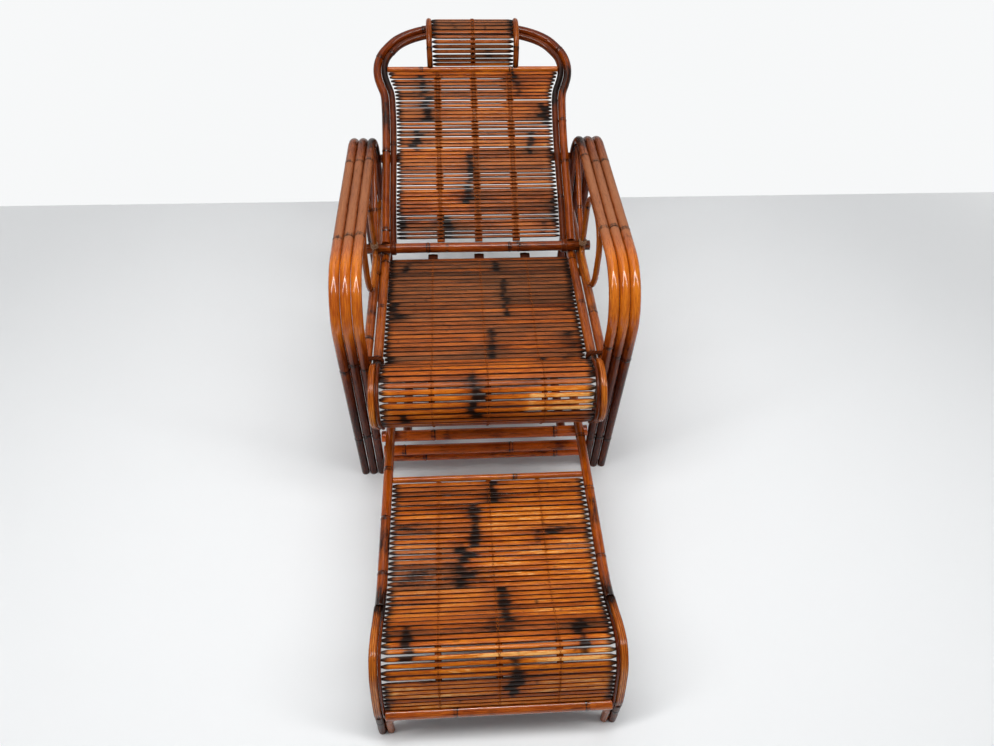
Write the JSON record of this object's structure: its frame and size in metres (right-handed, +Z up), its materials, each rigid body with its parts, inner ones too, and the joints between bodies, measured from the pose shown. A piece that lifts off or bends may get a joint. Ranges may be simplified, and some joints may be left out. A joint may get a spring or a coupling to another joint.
{
  "type": "bamboo folding recliner",
  "caption": "Bamboo folding recliner with tripled arm poles, a tilting arched slat back with a raised headrest, a rolled slat seat and a sliding slatted footrest.",
  "frame": {"origin": "middle of the underside of the bounding box, on the floor", "axes": "+X to the right of the chair as seen from the front, +Y from the footrest to the back, +Z up"},
  "size_m": [0.6336, 1.592, 0.7881],
  "materials": {
    "pole_bamboo": "glossy lacquered bamboo, orange-brown with scorched nodes",
    "dark_bamboo": "glossy lacquered bamboo, dark red-brown",
    "split_bamboo": "satin split bamboo slats, mixed orange and brown, scorched in places",
    "laminated_cane": "satin lacquered laminated cane",
    "cane_wrap": "pale matt cane wrapping"
  },
  "bodies": {
    "frame": {"arm_pole_inner_left": "pole_bamboo", "arm_pole_inner_right": "pole_bamboo", "arm_pole_middle_left": "pole_bamboo", "arm_pole_middle_right": "pole_bamboo", "arm_pole_outer_left": "pole_bamboo", "arm_pole_outer_right": "pole_bamboo", "arm_brace_left": "pole_bamboo", "arm_brace_right": "pole_bamboo", "side_rail_left": "dark_bamboo", "side_rail_right": "dark_bamboo", "seat_rail_left": "dark_bamboo", "seat_rail_right": "dark_bamboo", "footrest_runner_left": "dark_bamboo", "footrest_runner_right": "dark_bamboo", "seat_batten_left": "dark_bamboo", "seat_batten_right": "dark_bamboo", "arm_loop_left": "laminated_cane", "arm_loop_right": "laminated_cane", "seat_scroll_band_left": "laminated_cane", "seat_scroll_band_right": "laminated_cane", "loop_binding_left": "cane_wrap", "loop_binding_right": "cane_wrap", "neck_binding_left": "cane_wrap", "neck_binding_right": "cane_wrap", "seat_slats": "split_bamboo", "seat_front_bearer": "dark_bamboo", "seat_rear_bearer": "dark_bamboo", "front_stretcher": "dark_bamboo", "front_pair_upper": "dark_bamboo", "front_pair_lower": "dark_bamboo", "rear_stretcher": "dark_bamboo", "rear_top_rail": "dark_bamboo", "axle_rail": "pole_bamboo"},
    "back": {"back_batten_left": "dark_bamboo", "back_batten_right": "dark_bamboo", "headrest_hoop_left": "laminated_cane", "headrest_hoop_right": "laminated_cane", "back_slats": "split_bamboo", "headrest_slats": "split_bamboo", "back_top_bar": "dark_bamboo", "back_outer_pole": "pole_bamboo", "back_inner_pole": "pole_bamboo"},
    "footrest": {"footrest_leg_left": "dark_bamboo", "footrest_leg_right": "dark_bamboo", "footrest_batten_left": "dark_bamboo", "footrest_batten_right": "dark_bamboo", "footrest_rail_left": "pole_bamboo", "footrest_rail_right": "pole_bamboo", "footrest_scroll_band_left": "laminated_cane", "footrest_scroll_band_right": "laminated_cane", "footrest_slats": "split_bamboo", "footrest_top_bar": "dark_bamboo", "footrest_cross_bar": "dark_bamboo", "footrest_front_rail": "dark_bamboo", "footrest_apron_pole": "pole_bamboo"}
  },
  "joints": [
    {"name": "back_fold", "type": "hinge", "parent": "frame", "child": "back", "pos_m": [0, 0.234, 0.4178], "axis": [1, 0, 0], "range_deg": [0, 141]},
    {"name": "footrest_slide", "type": "slide", "parent": "frame", "child": "footrest", "axis": [0, 1, 0], "range_m": [-0.045, 0.5]}
  ]
}
